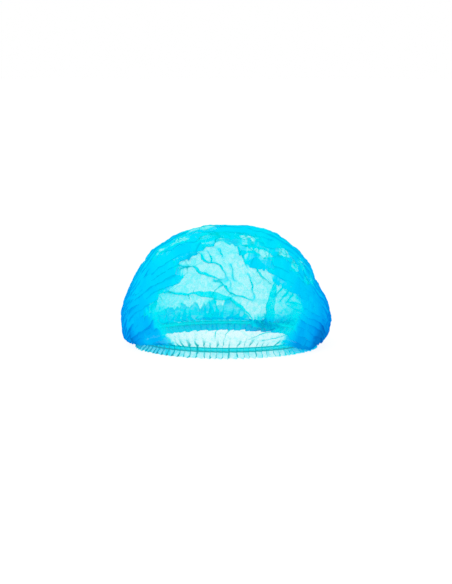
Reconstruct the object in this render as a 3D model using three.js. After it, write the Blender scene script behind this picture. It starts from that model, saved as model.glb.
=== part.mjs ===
// A disposable hairnet of the strip kind: a sheet of thin non-woven cloth, stored as a pleated strip
// and opened into a puffed cap. Every pleat runs from a sealed end on the wearer's left to one on the
// right. A flat elastic gathers the front hem and another the rear hem, and a frill hangs under each.
// Millimetres. X runs left to right, the front faces -Y, +Z is up, and the frill stands on Z = 0.
import * as THREE from "three";

// Driving dimensions
const CAP_WIDTH = 248; // left to right over the puffed crown
const CAP_DEPTH = 184; // front to rear over the puffed crown
const CAP_HEIGHT = 143.5; // floor to the top of the crown
const OPENING_WIDTH = 214; // left to right between the hem lines
const OPENING_DEPTH = 148; // front to rear between the hem lines
const CLOTH_WALL = 1.2; // the crumpled cloth's thickness
const FRILL_DROP = 7.5; // free cloth under each elastic
const FRILL_WAVE = 2.1; // half of the frill's ripple, from crest to trough
const FRILL_FLARE = 2.5; // how far the frill's edge spreads outwards
const GATHERS_PER_SIDE = 44; // ripples along each hem
const PLEAT_DEPTH = 2.8; // half of the deepest pleat, from ridge to valley
const DENT_DEPTH = 5; // the deepest of the soft dents
const ELASTIC_WIDTH = 4;
const ELASTIC_THICKNESS = 0.8;
const SEAL_RADIUS = 4.2; // the bunched and sealed end of all the pleats
const CLEARANCE = 0.3; // between pieces that touch

// What follows from them
const HEM_HEIGHT = FRILL_DROP + ELASTIC_WIDTH;
const CROWN_RISE = CAP_HEIGHT - PLEAT_DEPTH * 0.5;
const COLUMNS = 2 * GATHERS_PER_SIDE;
const END_LATITUDE = Math.acos((SEAL_RADIUS + CLEARANCE) / (OPENING_DEPTH / 2));

// The crown's outline from the hem line up to the top. `way` is the share of the way up the cloth,
// left, right, front and rear are shares of the cap's half width or half depth, and the three heights
// are shares of the crown's height: at the two ends, at the front and at the rear. The cloth sags
// under the hem line at the ends, a little at the rear, and not at all at the front.
const PUFF = [
  { way: 0.045, left: 0.916, right: 0.912, front: 0.9, rear: 0.875, endHeight: 0.034, frontHeight: 0.13, rearHeight: 0.096 },
  { way: 0.1, left: 0.976, right: 0.962, front: 0.92, rear: 0.945, endHeight: 0.062, frontHeight: 0.178, rearHeight: 0.106 },
  { way: 0.17, left: 0.992, right: 0.986, front: 0.952, rear: 0.985, endHeight: 0.15, frontHeight: 0.25, rearHeight: 0.19 },
  { way: 0.25, left: 0.99, right: 0.985, front: 0.978, rear: 0.995, endHeight: 0.262, frontHeight: 0.34, rearHeight: 0.3 },
  { way: 0.35, left: 0.955, right: 0.935, front: 0.982, rear: 0.985, endHeight: 0.4, frontHeight: 0.455, rearHeight: 0.425 },
  { way: 0.45, left: 0.895, right: 0.86, front: 0.93, rear: 0.945, endHeight: 0.535, frontHeight: 0.58, rearHeight: 0.56 },
  { way: 0.55, left: 0.81, right: 0.785, front: 0.835, rear: 0.85, endHeight: 0.67, frontHeight: 0.7, rearHeight: 0.69 },
  { way: 0.66, left: 0.665, right: 0.66, front: 0.69, rear: 0.7, endHeight: 0.8, frontHeight: 0.822, rearHeight: 0.815 },
  { way: 0.78, left: 0.44, right: 0.485, front: 0.48, rear: 0.49, endHeight: 0.915, frontHeight: 0.924, rearHeight: 0.92 },
  { way: 0.9, left: 0.195, right: 0.26, front: 0.22, rear: 0.225, endHeight: 0.982, frontHeight: 0.984, rearHeight: 0.983 },
  { way: 1, left: 0, right: 0, front: 0, rear: 0, endHeight: 1, frontHeight: 1, rearHeight: 1 },
];

// The pleats, from the front hem line over the top to the rear one. `turn` is the angle in degrees
// round the line between the sealed ends, `lift` the pleat's ridge or valley as a share of
// PLEAT_DEPTH, `middle` how much of it is left half way between the ends, where the cloth is pulled
// smooth, and `gather` the hem's ripple there as a share of FRILL_WAVE.
const PLEATS = [
  { turn: -90, lift: 0, middle: 0, gather: 0.25 },
  { turn: -83, lift: 0.1, middle: 0, gather: 0.75 },
  { turn: -74, lift: -0.3, middle: 0.1, gather: 0.45 },
  { turn: -64, lift: 0.6, middle: 0.1, gather: 0.15 },
  { turn: -55, lift: -0.6, middle: 0.15, gather: 0 },
  { turn: -46, lift: 0.75, middle: 0.2, gather: 0 },
  { turn: -37, lift: -0.7, middle: 0.3, gather: 0 },
  { turn: -28, lift: 0.8, middle: 0.3, gather: 0 },
  { turn: -19, lift: -0.8, middle: 0.6, gather: 0 },
  { turn: -10, lift: 0.9, middle: 0.8, gather: 0 },
  { turn: -1, lift: -0.9, middle: 1, gather: 0 },
  { turn: 8, lift: 0.95, middle: 0.9, gather: 0 },
  { turn: 17, lift: -0.9, middle: 0.8, gather: 0 },
  { turn: 26, lift: 0.75, middle: 0.7, gather: 0 },
  { turn: 35, lift: -0.7, middle: 0.5, gather: 0 },
  { turn: 44, lift: 0.7, middle: 0.4, gather: 0 },
  { turn: 54, lift: -0.6, middle: 0.3, gather: 0 },
  { turn: 63, lift: 0.5, middle: 0.2, gather: 0.15 },
  { turn: 73, lift: -0.3, middle: 0.1, gather: 0.45 },
  { turn: 82, lift: 0.1, middle: 0, gather: 0.75 },
  { turn: 90, lift: 0, middle: 0, gather: 0.25 },
];

// Soft dents and swellings of the puffed cloth. `latitude` and `turn` are degrees on the crown, `long`
// and `wide` are the reach along and across the pleats in degrees, and `depth` is a share of DENT_DEPTH.
const DENTS = [
  { latitude: 22, turn: -42, long: 9, wide: 26, depth: 0.9 },
  { latitude: 10, turn: -50, long: 11, wide: 20, depth: -0.45 },
  { latitude: -22, turn: -38, long: 24, wide: 10, depth: 0.6 },
  { latitude: -40, turn: -12, long: 16, wide: 14, depth: 0.7 },
  { latitude: 42, turn: -20, long: 14, wide: 16, depth: 0.8 },
  { latitude: 56, turn: -52, long: 10, wide: 16, depth: -0.5 },
  { latitude: -8, turn: 20, long: 20, wide: 12, depth: 0.8 },
  { latitude: 30, turn: 44, long: 18, wide: 13, depth: 0.9 },
  { latitude: -34, turn: 50, long: 16, wide: 15, depth: 0.8 },
  { latitude: -4, turn: 66, long: 15, wide: 12, depth: -0.5 },
];

// The hem under the hem line, from the elastic's lower edge down to the frill's edge. `drop` is the
// share of the frill's fall, and `gather` and `flare` are shares of FRILL_WAVE and FRILL_FLARE.
const FRILL = [
  { drop: 0, gather: 0.25, flare: 0 },
  { drop: 0.5, gather: 0.8, flare: 0.45 },
  { drop: 1, gather: 1, flare: 1 },
];

// The sealed end, as rings of a ribbed bunch. `height` is a share of HEM_HEIGHT and `swell` of SEAL_RADIUS.
const SEAL = [
  { height: 0, swell: 0.8 },
  { height: 0.2, swell: 0.95 },
  { height: 0.45, swell: 0.7 },
  { height: 0.7, swell: 0.85 },
  { height: 0.96, swell: 1 },
];
const SEAL_RIBS = 9;
const SEAL_RIB_DEPTH = 0.18; // share of its radius

const sections = [
  {
    way: 0,
    left: OPENING_WIDTH / 2,
    right: OPENING_WIDTH / 2,
    front: OPENING_DEPTH / 2,
    rear: OPENING_DEPTH / 2,
    endHeight: HEM_HEIGHT,
    frontHeight: HEM_HEIGHT,
    rearHeight: HEM_HEIGHT,
  },
  ...PUFF.map((row) => ({
    way: row.way,
    left: (row.left * CAP_WIDTH) / 2,
    right: (row.right * CAP_WIDTH) / 2,
    front: (row.front * CAP_DEPTH) / 2,
    rear: (row.rear * CAP_DEPTH) / 2,
    endHeight: row.endHeight * CROWN_RISE,
    frontHeight: row.frontHeight * CROWN_RISE,
    rearHeight: row.rearHeight * CROWN_RISE,
  })),
];

// One column of the outline at a share of the way up, on a smooth curve through its rows.
function sectionAt(column, way) {
  const last = sections.length - 1;
  let k = 0;
  while (k < last - 1 && way > sections[k + 1].way) k += 1;
  const slope = (i) => {
    const before = sections[Math.max(i - 1, 0)];
    const after = sections[Math.min(i + 1, last)];
    return (after[column] - before[column]) / (after.way - before.way);
  };
  const from = sections[k];
  const to = sections[k + 1];
  const span = to.way - from.way;
  const t = THREE.MathUtils.clamp((way - from.way) / span, 0, 1);
  const t2 = t * t;
  const t3 = t2 * t;
  return (
    from[column] * (2 * t3 - 3 * t2 + 1) +
    slope(k) * span * (t3 - 2 * t2 + t) +
    to[column] * (3 * t2 - 2 * t3) +
    slope(k + 1) * span * (t3 - t2)
  );
}

// A point of the smooth crown. Latitude runs from the left sealed end to the right one, and turn goes
// from the front hem over the top to the rear hem, as on a globe whose poles are the sealed ends.
function crownPoint(latitude, turn) {
  const towardsRight = Math.sin(latitude);
  const towardsRear = Math.cos(latitude) * Math.sin(turn);
  const upwards = Math.cos(latitude) * Math.cos(turn);
  const way = Math.asin(THREE.MathUtils.clamp(upwards, 0, 1)) / (Math.PI / 2);
  const outwards = Math.max(Math.hypot(towardsRight, towardsRear), 1e-9);
  const x = towardsRight / outwards;
  const y = towardsRear / outwards;
  const reachX = sectionAt(x < 0 ? "left" : "right", way);
  const reachY = sectionAt(y < 0 ? "front" : "rear", way);
  const middleHeight = sectionAt(y < 0 ? "frontHeight" : "rearHeight", way);
  const height = THREE.MathUtils.lerp(middleHeight, sectionAt("endHeight", way), x * x);
  return new THREE.Vector3(x * reachX, y * reachY, height);
}

// A point of the hem at a height over the floor, moved outwards by some distance. Side is -1 at the
// front and 1 at the rear.
function hemPoint(latitude, side, height, outwards) {
  const x = Math.sin(latitude);
  const y = side * Math.cos(latitude);
  const normal = new THREE.Vector2(x * OPENING_DEPTH, y * OPENING_WIDTH).normalize();
  return new THREE.Vector3(
    (x * OPENING_WIDTH) / 2 + normal.x * outwards,
    (y * OPENING_DEPTH) / 2 + normal.y * outwards,
    height,
  );
}

const latitudes = Array.from(
  { length: COLUMNS + 1 },
  (_, i) => END_LATITUDE * ((2 * i) / COLUMNS - 1),
);

// The outward direction at each point of a grid of points.
function gridNormals(grid) {
  const rows = grid.length;
  const columns = grid[0].length;
  return grid.map((row, r) =>
    row.map((_, c) => {
      const along = new THREE.Vector3().subVectors(
        row[Math.min(c + 1, columns - 1)],
        row[Math.max(c - 1, 0)],
      );
      const up = new THREE.Vector3().subVectors(
        grid[Math.min(r + 1, rows - 1)][c],
        grid[Math.max(r - 1, 0)][c],
      );
      return along.cross(up).normalize();
    }),
  );
}

// A closed solid between an outer and an inner grid of points.
function solidBetween(outer, inner) {
  const rows = outer.length;
  const columns = outer[0].length;
  const positions = [...outer.flat(), ...inner.flat()].flatMap((p) => [p.x, p.y, p.z]);
  const faces = [];
  const out = (r, c) => r * columns + c;
  const within = (r, c) => rows * columns + r * columns + c;
  const quad = (a, b, c, d) => faces.push(a, b, c, a, c, d);
  for (let r = 0; r < rows - 1; r += 1) {
    for (let c = 0; c < columns - 1; c += 1) {
      quad(out(r, c), out(r, c + 1), out(r + 1, c + 1), out(r + 1, c));
      quad(within(r, c), within(r + 1, c), within(r + 1, c + 1), within(r, c + 1));
    }
  }
  for (let c = 0; c < columns - 1; c += 1) {
    quad(within(0, c), within(0, c + 1), out(0, c + 1), out(0, c));
    quad(out(rows - 1, c), out(rows - 1, c + 1), within(rows - 1, c + 1), within(rows - 1, c));
  }
  for (let r = 0; r < rows - 1; r += 1) {
    quad(within(r + 1, 0), within(r, 0), out(r, 0), out(r + 1, 0));
    quad(within(r, columns - 1), within(r + 1, columns - 1), out(r + 1, columns - 1), out(r, columns - 1));
  }
  const geometry = new THREE.BufferGeometry();
  geometry.setAttribute("position", new THREE.Float32BufferAttribute(positions, 3));
  geometry.setIndex(faces);
  geometry.computeVertexNormals();
  return geometry;
}

// How strongly pleats, dents and ripples show at a latitude. They flatten where the cloth is bunched
// at the ends, and a pleat keeps only its middle share half way between them.
const bunching = (latitude) => THREE.MathUtils.smoothstep(Math.cos(latitude), 0.05, 0.45);
const rippleShow = (latitude) => 0.4 + 0.6 * THREE.MathUtils.smoothstep(Math.cos(latitude), 0, 0.4);

function pleatShow(latitude, middleShare) {
  const towardsEnds = THREE.MathUtils.smoothstep(Math.abs(Math.sin(latitude)), 0.35, 0.8);
  return bunching(latitude) * THREE.MathUtils.lerp(middleShare, 1, towardsEnds);
}

// How deep the dents are at a point of the crown, which fade out at the hem.
function dent(latitude, turn) {
  const inDegrees = THREE.MathUtils.radToDeg(latitude);
  const depth = DENTS.reduce((sum, row) => {
    const along = (inDegrees - row.latitude) / row.long;
    const across = (turn - row.turn) / row.wide;
    return sum + row.depth * Math.exp(-along * along - across * across);
  }, 0);
  const awayFromHem = THREE.MathUtils.smoothstep(90 - Math.abs(turn), 0, 20);
  return depth * DENT_DEPTH * bunching(latitude) * awayFromHem;
}

// The rows of the cloth, from the front frill's edge over the crown to the rear frill's edge. Each has
// its smooth points, its ripple and its lift.
function clothRows() {
  const hem = (side) =>
    FRILL.map((row) => ({
      point: (latitude) =>
        hemPoint(latitude, side, FRILL_DROP * (1 - row.drop), FRILL_FLARE * row.flare),
      gather: row.gather,
      lift: () => 0,
    }));
  const crown = PLEATS.map((row) => ({
    point: (latitude) => crownPoint(latitude, THREE.MathUtils.degToRad(row.turn)),
    gather: row.gather,
    lift: (latitude) => row.lift * PLEAT_DEPTH * pleatShow(latitude, row.middle) - dent(latitude, row.turn),
  }));
  return [...hem(-1).reverse(), ...crown, ...hem(1)];
}

// The cloth's half thickness along its smooth surface's normal, for a wall that slopes with the ripple.
const halfWall = (ripple, pitch) => (CLOTH_WALL / 2) * Math.hypot(1, (2 * ripple) / pitch);

function clothGeometry() {
  const rows = clothRows();
  const smooth = rows.map((row) => latitudes.map((latitude) => row.point(latitude)));
  const normals = gridNormals(smooth);
  const hemRows = FRILL.length;
  normals.forEach((row, r) => {
    if (r < hemRows || r >= rows.length - hemRows) row.forEach((n) => n.setZ(0).normalize());
  });
  const pushed = (way) =>
    smooth.map((row, r) =>
      row.map((point, c) => {
        const ripple = rows[r].gather * FRILL_WAVE * rippleShow(latitudes[c]);
        const neighbour = row[c > 0 ? c - 1 : 1];
        const wall = halfWall(ripple, point.distanceTo(neighbour));
        const crest = c % 2 ? 1 : -1;
        const lift = rows[r].lift(latitudes[c]);
        return point.clone().addScaledVector(normals[r][c], crest * ripple + lift + way * wall);
      }),
    );
  return solidBetween(pushed(1), pushed(-1));
}

// The elastic lies against the inside of the hem, clear of its ripples.
function elasticGeometry(side) {
  const ripple = FRILL[0].gather * FRILL_WAVE;
  const pitch = hemPoint(latitudes[0], side, 0, 0).distanceTo(hemPoint(latitudes[1], side, 0, 0));
  const face = ripple + halfWall(ripple, pitch) + CLEARANCE;
  const along = side < 0 ? latitudes : [...latitudes].reverse();
  const rows = (inwards) =>
    [FRILL_DROP, FRILL_DROP + ELASTIC_WIDTH].map((height) =>
      along.map((latitude) => hemPoint(latitude, side, height, -inwards)),
    );
  return solidBetween(rows(face), rows(face + ELASTIC_THICKNESS));
}

// The bunched end: a ribbed knot with a flat foot.
function sealGeometry() {
  const steps = 2 * SEAL_RIBS;
  const ring = (row) =>
    Array.from({ length: steps }, (_, k) => {
      const angle = (2 * Math.PI * k) / steps;
      const radius = SEAL_RADIUS * row.swell * (k % 2 ? 1 - SEAL_RIB_DEPTH : 1);
      return [radius * Math.sin(angle), -radius * Math.cos(angle), row.height * HEM_HEIGHT];
    });
  const positions = SEAL.flatMap(ring).flat();
  const foot = SEAL.length * steps;
  const top = foot + 1;
  positions.push(0, 0, 0, 0, 0, SEAL[SEAL.length - 1].height * HEM_HEIGHT);
  const faces = [];
  for (let k = 0; k < steps; k += 1) {
    const next = (k + 1) % steps;
    for (let r = 0; r < SEAL.length - 1; r += 1) {
      const low = r * steps;
      const high = low + steps;
      faces.push(low + k, low + next, high + next, low + k, high + next, high + k);
    }
    const last = (SEAL.length - 1) * steps;
    faces.push(foot, next, k, top, last + k, last + next);
  }
  const geometry = new THREE.BufferGeometry();
  geometry.setAttribute("position", new THREE.Float32BufferAttribute(positions, 3));
  geometry.setIndex(faces);
  geometry.computeVertexNormals();
  return geometry;
}

const cloth = new THREE.MeshStandardMaterial({ color: 0x3fd0f5, roughness: 0.75, metalness: 0 });
const bunchedCloth = new THREE.MeshStandardMaterial({ color: 0x0a8ee0, roughness: 0.7, metalness: 0 });
const elastic = new THREE.MeshStandardMaterial({ color: 0x14b8e0, roughness: 0.6, metalness: 0 });

function named(name, geometry, material) {
  const mesh = new THREE.Mesh(geometry, material);
  mesh.name = name;
  return mesh;
}

const cap = new THREE.Group();
cap.add(named("crown", clothGeometry(), cloth));
cap.add(named("elastic_front", elasticGeometry(-1), elastic));
cap.add(named("elastic_rear", elasticGeometry(1), elastic));
for (const [name, side] of [["end_seal_left", -1], ["end_seal_right", 1]]) {
  const seal = named(name, sealGeometry(), bunchedCloth);
  seal.position.x = (side * OPENING_WIDTH * Math.sin(END_LATITUDE)) / 2;
  cap.add(seal);
}

// The part's origin is under the middle of the cap, on the floor.
const extent = new THREE.Box3().setFromObject(cap, true);
const middle = extent.getCenter(new THREE.Vector3());
cap.position.set(-middle.x, -middle.y, -extent.min.z);

export default cap;
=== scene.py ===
"""A disposable strip hairnet: one sheet of thin blue non-woven cloth, pleated lengthwise, sealed at both
ends, gathered on two flat elastics and opened into a puffed cap that stands on its frill.

Metres. X runs from the left sealed end to the right one, the front faces -Y and +Z is up. A point of the
cloth is given as on a globe whose poles are the sealed ends: its latitude runs from the left end to the
right one, and its turn from the front hem (-90 degrees) over the top (0) to the rear hem (90).
"""

import bpy
import numpy as np
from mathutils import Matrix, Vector


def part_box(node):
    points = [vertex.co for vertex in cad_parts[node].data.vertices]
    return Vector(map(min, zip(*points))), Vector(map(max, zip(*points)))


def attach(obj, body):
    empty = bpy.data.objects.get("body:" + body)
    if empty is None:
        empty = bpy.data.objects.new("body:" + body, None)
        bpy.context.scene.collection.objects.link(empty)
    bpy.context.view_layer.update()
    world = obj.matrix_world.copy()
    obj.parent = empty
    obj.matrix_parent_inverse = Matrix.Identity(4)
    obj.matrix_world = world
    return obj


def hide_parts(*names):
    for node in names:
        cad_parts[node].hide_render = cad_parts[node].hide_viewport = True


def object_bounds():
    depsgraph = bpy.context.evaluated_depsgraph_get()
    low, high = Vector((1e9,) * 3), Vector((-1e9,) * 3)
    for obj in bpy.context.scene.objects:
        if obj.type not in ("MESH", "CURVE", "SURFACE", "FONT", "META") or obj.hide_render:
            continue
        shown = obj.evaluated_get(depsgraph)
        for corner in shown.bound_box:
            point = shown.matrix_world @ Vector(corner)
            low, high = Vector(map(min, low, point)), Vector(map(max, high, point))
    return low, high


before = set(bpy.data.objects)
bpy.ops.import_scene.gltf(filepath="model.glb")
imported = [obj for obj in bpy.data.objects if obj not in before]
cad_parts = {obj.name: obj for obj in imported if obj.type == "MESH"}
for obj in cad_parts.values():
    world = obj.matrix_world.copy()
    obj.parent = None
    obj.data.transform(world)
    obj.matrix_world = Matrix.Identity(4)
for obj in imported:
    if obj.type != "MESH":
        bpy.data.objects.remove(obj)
cad_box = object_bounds()

# Places of the hems and the ends, from the elastics and the sealed ends of the construction
FRONT_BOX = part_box("elastic_front")
LEFT_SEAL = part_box("end_seal_left")
RIGHT_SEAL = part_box("end_seal_right")
CENTRE_X = (LEFT_SEAL[0][0] + RIGHT_SEAL[1][0]) / 2
CENTRE_Y = (LEFT_SEAL[0][1] + LEFT_SEAL[1][1]) / 2
FRILL_DROP = FRONT_BOX[0][2]
HEM_HEIGHT = FRONT_BOX[1][2]
END_X = (RIGHT_SEAL[0][0] + RIGHT_SEAL[1][0]) / 2 - CENTRE_X

# Sizes that the construction is built with too
OPENING_WIDTH = 0.214
OPENING_DEPTH = 0.148
CAP_WIDTH = 0.248
CAP_DEPTH = 0.184
CROWN_RISE = 0.1421
GATHERS_PER_SIDE = 44

# The latitude at which the cloth ends in the sealed ends
END_LATITUDE = np.arcsin(END_X / (OPENING_WIDTH / 2))

# The gathers at the hem line: how far they double over, in degrees, at the front and at the rear, how far
# they swing in and out, and over how many degrees of turn they pass into the crown's
HEM_GATHER = (0.75, 1.3)
HEM_SWING = 0.0006
HEM_BAND = 3

# The gathers above the hem: how far they double over in degrees, both where the cloth is taut and where it
# hangs loose, and how much further in the fullest places, and how far they swing in and out in metres
TAUT_GATHER = 0.3
LOOSE_GATHER = 0.8
LOOSE_FULLER = 2.2
GATHER_SWING = 0.0012

# How far up the gathers reach in degrees, by how much that varies, and how far they lean for each degree
GATHER_REACH = 5.5
GATHER_REACH_VARIES = (2.5, 2.0)
GATHER_LEAN = 0.02

# How much the gathers, taut and loose, deepen the colour, how dark their edges are, and how dark the rim
# is up to which the cloth hangs loose
GATHER_DEEP = 0.06
LOOSE_DEEP = 0.32
GATHER_EDGE = 1.1
LOOSE_EDGE = 0.4
LOOSE_RIM = 0.9

# The frills, at the front and at the rear: how high the lobes of the foot are, how many gathers long they
# are, how far out the frill flares and how dark the two seams beside the elastic are
FRILL_LOBES = (0.0007, 0.0012)
LOBE_GATHERS = (1, 1.7)
FRILL_FLARE = (0.0055, -0.0075)
SEAM_EDGE = (1.0, 0.35)

# How wide a seam is, and how far both frills swing and crinkle
SEAM_WIDTH = 0.0008
FRILL_SWING = 0.0013
FRILL_CRINKLE = 0.0005

# How dark the frills' pinched stripes are, how much painted shade darkens all of the rear frill, and where
# and how much painted shadow darkens the front frill's foot: latitude, reach in degrees and strength
FRILL_EDGE = 0.9
REAR_FRILL_SHADE = 0.18
FRILL_FOOT_SHADOW = (-38, 11, 0.8)

# The sealed ends: how many coarse and fine ribs they have and how deep these are as shares of the radius,
# over what share of the mesh the top and the foot close, and heights and radii as shares from the foot up
SEAL_RIBS = 9
SEAL_FINE_RIBS = 23
SEAL_RIB_DEPTH = 0.13
SEAL_FINE_DEPTH = 0.035
SEAL_CLOSING = 0.06
SEAL_HEIGHTS = (0.0, 0.2, 0.45, 0.7, 1.0)
SEAL_SWELLS = (0.84, 0.98, 0.74, 0.9, 1.0)

# The flat sheet that such a cap is made from
SHEET_WIDTH = 0.40
SHEET_LENGTH = 0.53

# The crown's outline from the hem line up. `way` is the share of the way up the cloth; left, right,
# front and rear are shares of the cap's half width or half depth; the heights are shares of the rise.
PUFF_COLUMNS = ("way", "left", "right", "front", "rear", "end_height", "front_height", "rear_height")
PUFF = (
    (0.045, 0.916, 0.888, 0.900, 0.875, 0.034, 0.130, 0.096),
    (0.100, 0.976, 0.948, 0.920, 0.945, 0.062, 0.178, 0.106),
    (0.170, 0.992, 0.986, 0.952, 0.985, 0.150, 0.250, 0.190),
    (0.250, 0.990, 0.985, 0.978, 0.995, 0.262, 0.340, 0.300),
    (0.350, 0.955, 0.935, 0.982, 0.985, 0.400, 0.455, 0.425),
    (0.450, 0.895, 0.860, 0.930, 0.945, 0.535, 0.580, 0.560),
    (0.550, 0.810, 0.785, 0.835, 0.850, 0.670, 0.700, 0.690),
    (0.660, 0.690, 0.660, 0.690, 0.700, 0.800, 0.822, 0.815),
    (0.780, 0.475, 0.485, 0.480, 0.490, 0.915, 0.924, 0.920),
    (0.900, 0.240, 0.260, 0.220, 0.225, 0.982, 0.984, 0.983),
    (1.000, 0.000, 0.000, 0.000, 0.000, 1.000, 1.000, 1.000),
)

# Soft dents and swellings: latitude, turn, reach along and across the pleats in degrees, and depth as a
# share of DENT_DEPTH. A negative depth is a swelling.
DENT_DEPTH = 0.005
DENTS = (
    (22, -42, 9, 26, 0.9),
    (10, -50, 11, 20, -0.45),
    (-22, -38, 24, 10, 0.6),
    (-40, -12, 16, 14, 0.7),
    (42, -20, 14, 16, 0.8),
    (56, -52, 10, 16, -0.5),
    (-8, 20, 20, 12, 0.8),
    (30, 44, 18, 13, 0.9),
    (-34, 50, 16, 15, 0.8),
    (-4, 66, 15, 12, -0.5),
)

# Where the front wall sags over the hem: latitude, turn, reach along and across in degrees, and how far in
# metres
SAGS = ((56, -78, 15, 12, 0.006),)

# Single folds pinched into the cloth. Each runs through points of latitude, turn and how far the cloth
# doubles over itself there, in degrees. `broad` is its breadth in degrees, `stand` how far it stands
# out in metres, `deep` how much its colour deepens and `sharp` how dark its edges are. Without `sharp`
# the edges are as dark as fits the fold's breadth.
FOLDS = (
    # Front wall: the long folds that cross the window
    {
        "broad": 2.2, "stand": 0.0018, "deep": 0.22,
        "run": (
            (-28, -45, 1.2), (-22, -48.5, 2.0), (-18, -51, 2.3), (-15.5, -50, 2.0), (-12, -51, 2.9),
            (-8.5, -52, 3.4), (-4, -53.5, 3.4), (2, -55, 2.5), (5.5, -58, 2.2), (9, -61, 2.0),
            (12.5, -66, 1.6), (15, -71, 1.2),
        ),
    },
    {
        "broad": 1.9, "stand": 0.0016, "deep": 0.22,
        "run": (
            (-19, -33, 0.8), (-13.5, -35, 1.7), (-12, -38, 2.0), (-8, -41, 2.3), (-4.5, -43, 1.6),
            (-1.5, -44.3, 0.9), (0, -44.8, 0.3),
        ),
    },
    {
        "broad": 1.5, "stand": 0.0013, "deep": 0.2,
        "run": (
            (-5, -45.5, 0.8), (-2.5, -46.5, 1.4), (-0.5, -48, 1.8), (1.5, -51, 1.7), (4.5, -52.5, 2.0),
            (9, -54, 1.4), (12, -55, 0.5),
        ),
    },
    {
        "broad": 1.1, "stand": 0.0009, "deep": 0.25,
        "run": (
            (-11, -26, 0.5), (-9, -31.5, 1.4), (-7, -34, 1.5), (-4, -35, 1.3), (-2, -37.5, 1.3),
            (-0.4, -41, 0.8), (0.2, -43.4, 0.3),
        ),
    },
    # Front wall: the short folds between them
    {
        "broad": 0.9, "stand": 0.0007, "deep": 0.2,
        "run": ((-7, -27, 0.4), (-5.5, -32, 1.1), (-5.5, -34.5, 0.4)),
    },
    {
        "broad": 1.1, "stand": 0.0008, "deep": 0.2,
        "run": ((-2.5, -27, 0.4), (-1.8, -30, 1.4), (-1.4, -31.5, 0.4)),
    },
    {
        "broad": 0.9, "stand": 0.0008, "deep": 0.3,
        "run": ((2, -36.5, 0.3), (2.5, -39, 0.8), (3, -42, 0.7), (4, -45, 0.3)),
    },
    {
        "broad": 0.9, "stand": 0.0006, "deep": 0.2,
        "run": ((1.6, -45.6, 0.3), (2.4, -47.4, 0.6), (2.8, -49, 0.3)),
    },
    {
        "broad": 0.9, "stand": 0.0008, "deep": 0.25,
        "run": ((9.5, -41, 0.3), (10.8, -44, 1.0), (12, -48, 1.2), (13, -53, 0.3)),
    },
    {
        "broad": 0.9, "stand": 0.0006, "deep": 0.1,
        "run": ((-6, -52.5, 0.4), (-5.5, -51, 0.9), (-4, -49, 0.9), (-1, -48.5, 0.3)),
    },
    {
        "broad": 0.9, "stand": 0.0007, "deep": 0.2,
        "run": ((4, -22.5, 0.4), (5.5, -27, 1.1), (6.5, -31, 1.2), (9, -36.5, 0.3)),
    },
    # Front wall: the two folds along the window's upper edge
    {
        "broad": 1.0, "stand": 0.0008, "deep": 0.06,
        "run": (
            (-15, -26, 0.6), (-10.5, -25, 1.5), (-9, -23, 1.6), (-6, -22.5, 1.4), (-4, -21, 1.4),
            (4, -21.5, 0.8),
        ),
    },
    {
        "broad": 1.1, "stand": 0.001, "deep": 0.08,
        "run": (
            (9.5, -32, 0.4), (13, -35.5, 1.3), (14, -38, 1.4), (15.5, -40, 1.4), (18.5, -41, 1.2),
            (23, -42.5, 0.4),
        ),
    },
    # Rear wall: the upright fold that widens towards the hem
    {
        "broad": 2.0, "stand": 0.002, "deep": 0.14,
        "run": ((28, 47, 0.5), (27, 54, 1.6), (26, 64, 3.0), (26, 74, 4.0), (28, 90, 4.2)),
    },
    # Rear wall: the short crossing folds to the right of it
    {
        "broad": 0.9, "stand": 0.0009, "deep": 0.4, "sharp": 0.85,
        "run": ((33, 50, 0.4), (31, 57.5, 1.3), (28.5, 64, 0.4)),
    },
    {
        "broad": 0.9, "stand": 0.0009, "deep": 0.4, "sharp": 0.85,
        "run": ((36.5, 51, 0.4), (34, 60, 1.4), (31, 67, 0.4)),
    },
    {
        "broad": 0.9, "stand": 0.0009, "deep": 0.4, "sharp": 0.85,
        "run": ((40, 51, 0.4), (38, 58, 1.4), (35, 65, 0.4)),
    },
    {
        "broad": 0.9, "stand": 0.0009, "deep": 0.4, "sharp": 0.85,
        "run": ((35, 65, 0.4), (40, 62.5, 1.3), (46, 60, 0.4)),
    },
    {
        "broad": 1.0, "stand": 0.0009, "deep": 0.4, "sharp": 0.85,
        "run": ((36, 67, 0.4), (44, 66.5, 1.3), (53, 65, 0.4)),
    },
    # Front wall: two folds at the left end of the window
    {
        "broad": 0.9, "stand": 0.0008, "deep": 0.2,
        "run": ((-33, -43, 0.3), (-34.5, -48, 1.4), (-36, -53, 0.4)),
    },
    {
        "broad": 0.9, "stand": 0.0008, "deep": 0.2,
        "run": ((-36, -45, 0.3), (-37.5, -50, 1.4), (-39, -55, 0.4)),
    },
    # Front wall: slanting folds that rise from the hem
    {
        "broad": 0.9, "stand": 0.0006, "deep": 0.12,
        "run": ((-3, -71, 0.4), (-5, -76, 1.0), (-6, -81, 0.5)),
    },
    {
        "broad": 0.9, "stand": 0.0006, "deep": 0.12,
        "run": ((4, -69, 0.4), (1, -75, 1.1), (-1, -81, 0.5)),
    },
    {
        "broad": 1.0, "stand": 0.0006, "deep": 0.14,
        "run": ((28, -72, 0.4), (20, -76, 1.4), (13, -81, 0.7)),
    },
    {
        "broad": 1.0, "stand": 0.0006, "deep": 0.14,
        "run": ((36, -73, 0.4), (29, -77, 1.4), (21, -82, 0.7)),
    },
    # Front wall: the deep fold near the left end
    {
        "broad": 1.4, "stand": 0.0012, "deep": 0.45,
        "run": ((-62, -58, 0.4), (-60, -68, 2.0), (-61, -78, 1.8), (-58, -86, 0.8)),
    },
)

# How wide the dark line along a fold's edge is, in degrees, and how far a fold's line wanders
CREASE_WIDTH = 0.3
FOLD_WANDER = (0.5, 0.08)

# The steepest slope of a fold's wave, at which the wave is 1 high
FOLD_STEEPNESS = 2.33

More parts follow.
